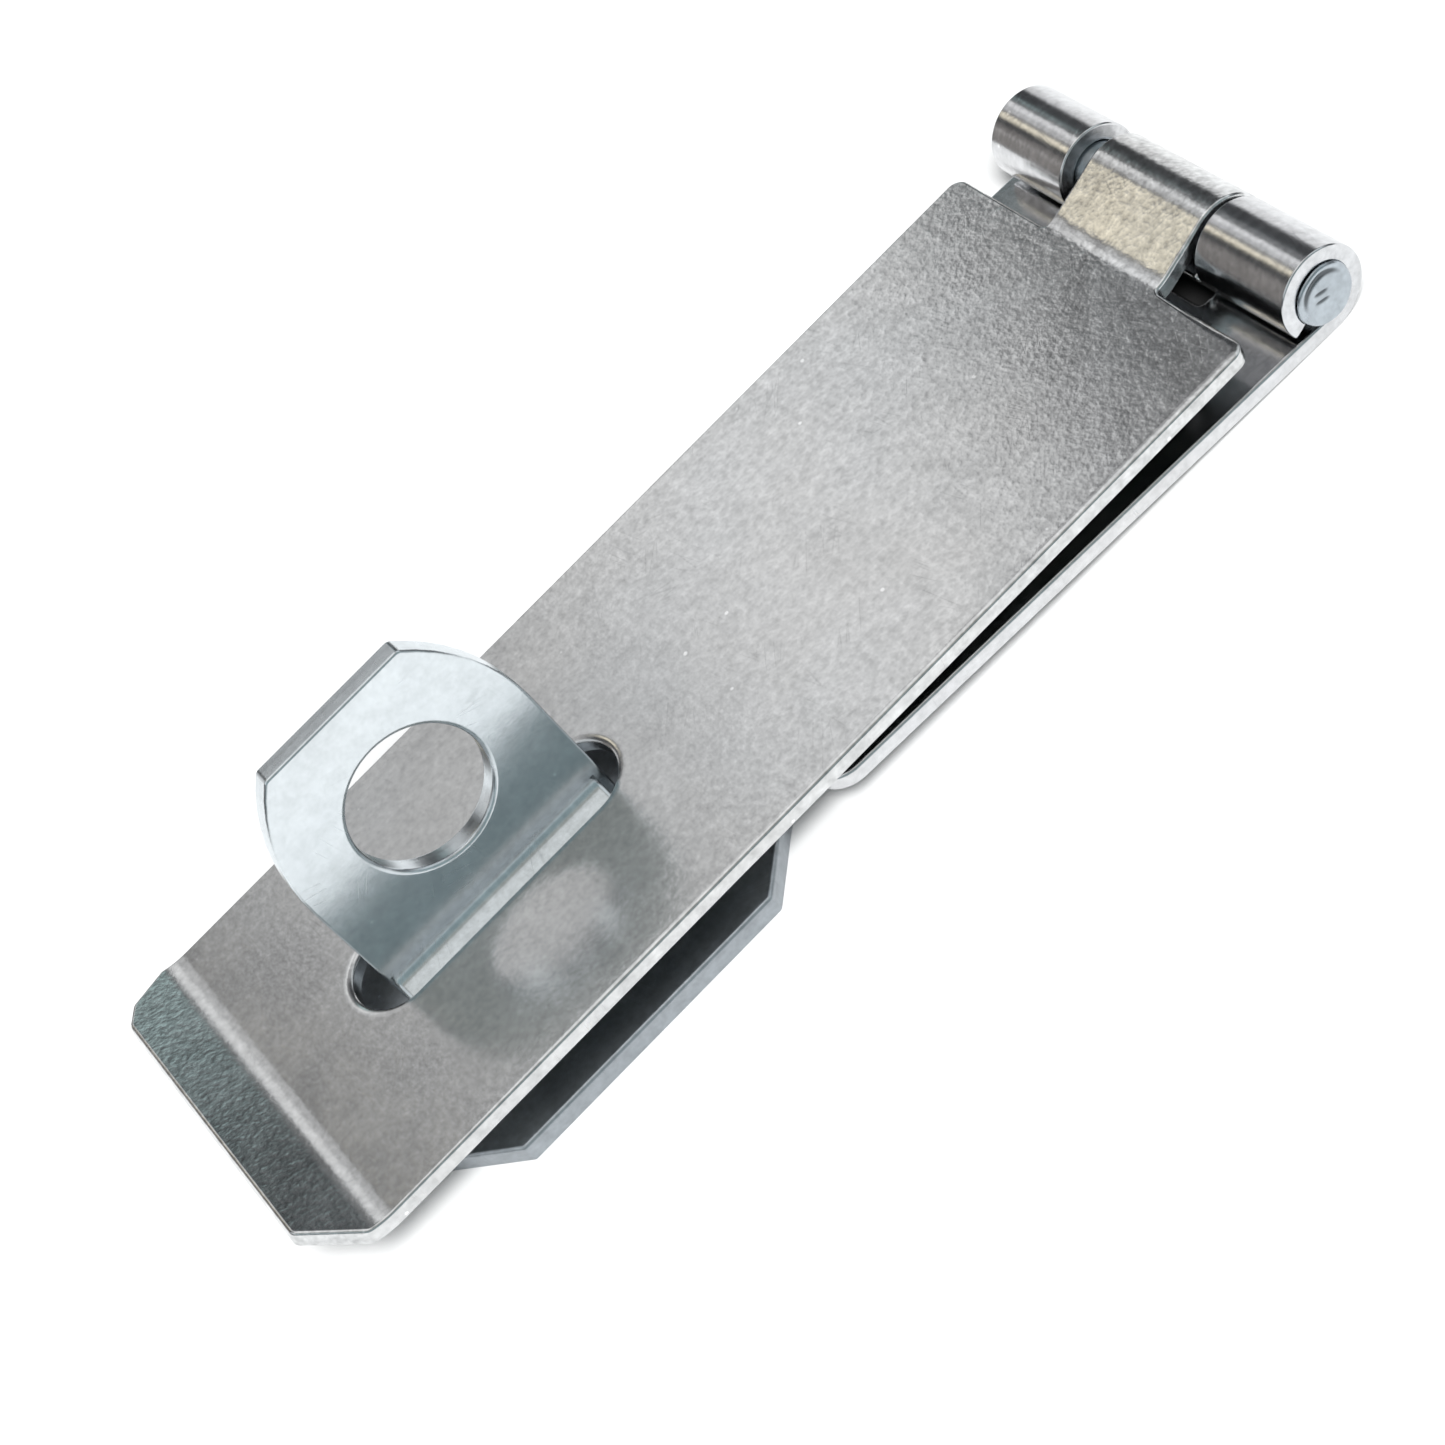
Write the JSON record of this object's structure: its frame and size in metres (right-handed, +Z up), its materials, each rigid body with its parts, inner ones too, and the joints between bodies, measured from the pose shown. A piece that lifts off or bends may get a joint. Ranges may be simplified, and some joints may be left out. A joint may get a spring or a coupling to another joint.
{
  "type": "hasp and staple",
  "caption": "Hinged flat hasp with a turned-up tip, closed over a separate staple whose upright eye takes a padlock shackle.",
  "frame": {"origin": "middle of the footprint, on the plane that the hinge barrel and the staple plate stand on", "axes": "+X along the strap towards the hinge, +Y across the strap along the hinge pin, +Z up off the mounting plane"},
  "size_m": [0.1155, 0.0418, 0.0286],
  "materials": {
    "strap_zinc": "bright zinc plate on pressed sheet, fine grain, soft mirror",
    "leaf_zinc": "bright zinc plate on rolled sheet, faintly blue",
    "pin_zinc": "bright zinc plate on steel wire, ends peened",
    "plate_zinc": "bright zinc plate on flat sheet",
    "eye_zinc": "bright zinc plate with a faint blue-green passivated tint"
  },
  "bodies": {
    "leaf": {"hinge_leaf": "leaf_zinc", "hinge_pin": "pin_zinc"},
    "strap": {"hasp_strap": "strap_zinc"},
    "staple": {"staple_plate": "plate_zinc", "staple_eye": "eye_zinc"}
  },
  "joints": [
    {"name": "strap_swing", "type": "hinge", "parent": "leaf", "child": "strap", "pos_m": [0.05355, 0, 0.0042], "axis": [0, 1, 0], "range_deg": [0, 180]},
    {"name": "staple_lift_off", "type": "slide", "parent": "leaf", "child": "staple", "axis": [0, -0.1236, -0.9923], "range_m": [0, 0.03]}
  ]
}
